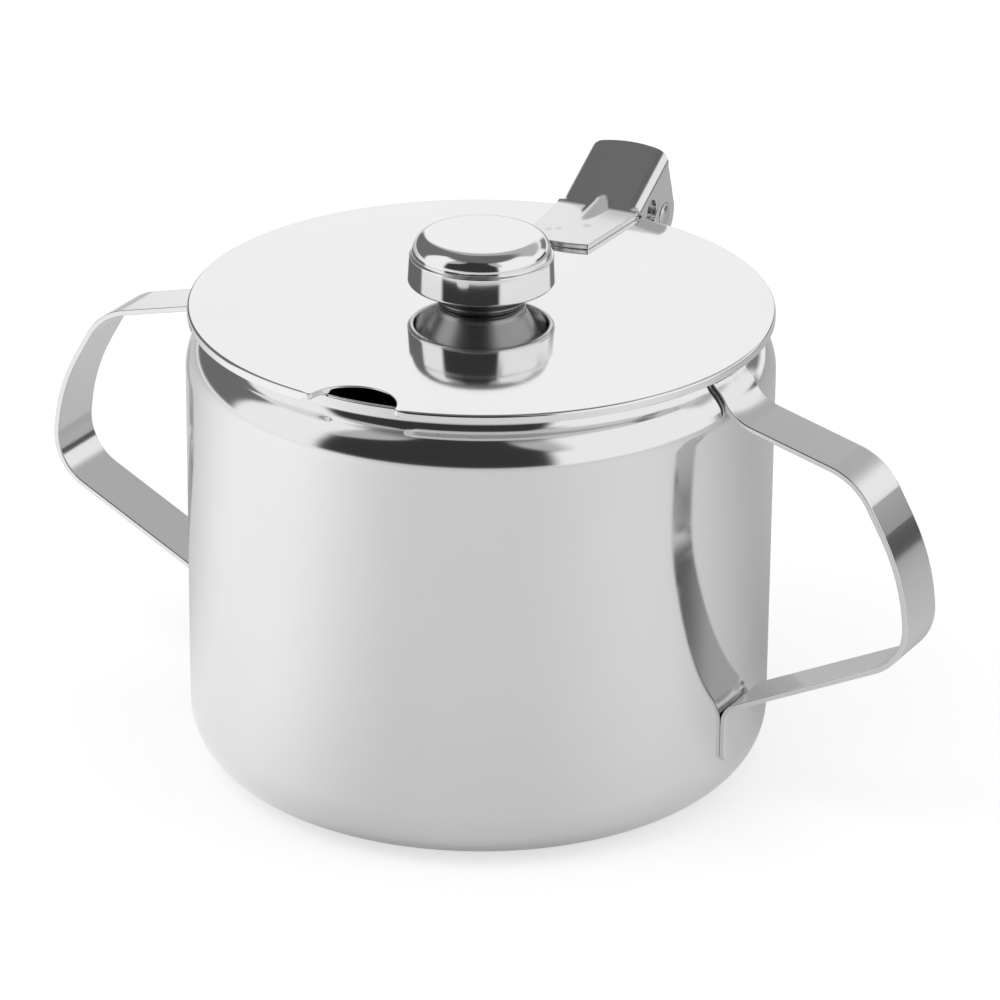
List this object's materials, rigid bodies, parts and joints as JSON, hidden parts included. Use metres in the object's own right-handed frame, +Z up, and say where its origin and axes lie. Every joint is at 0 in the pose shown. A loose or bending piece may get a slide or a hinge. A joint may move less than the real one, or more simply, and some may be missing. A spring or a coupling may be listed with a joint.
{
  "type": "sugar bowl with hinged lid",
  "caption": "Round steel sugar bowl with strap handles, a flat hinged lid with a spoon notch and a round knob, and a thumb lever at the back.",
  "frame": {"origin": "centre of the flat base, on the surface that the bowl stands on", "axes": "+Z up, -Y towards the spoon notch, +Y towards the hinge and thumb lever, X along the hinge pin and close to the line of the handles"},
  "size_m": [0.16, 0.1097, 0.0903],
  "materials": {
    "bowl_steel": "mirror polished",
    "strap_steel": "polished",
    "hinge_steel": "satin",
    "lid_steel": "mirror polished",
    "knob_steel": "mirror polished",
    "rivet_steel": "satin"
  },
  "bodies": {
    "bowl": {"bowl": "bowl_steel", "handle_left": "strap_steel", "handle_right": "strap_steel", "hinge_bracket": "hinge_steel"},
    "lid": {"lid": "lid_steel", "thumb_lever": "strap_steel", "hinge_pin": "rivet_steel", "knob_neck": "knob_steel", "knob_cap": "knob_steel", "knob_rivet": "rivet_steel"}
  },
  "joints": [
    {"name": "lid_hinge", "type": "hinge", "parent": "bowl", "child": "lid", "pos_m": [0, 0.0576, 0.0751], "axis": [-1, 0, 0], "range_deg": [0, 105]}
  ]
}
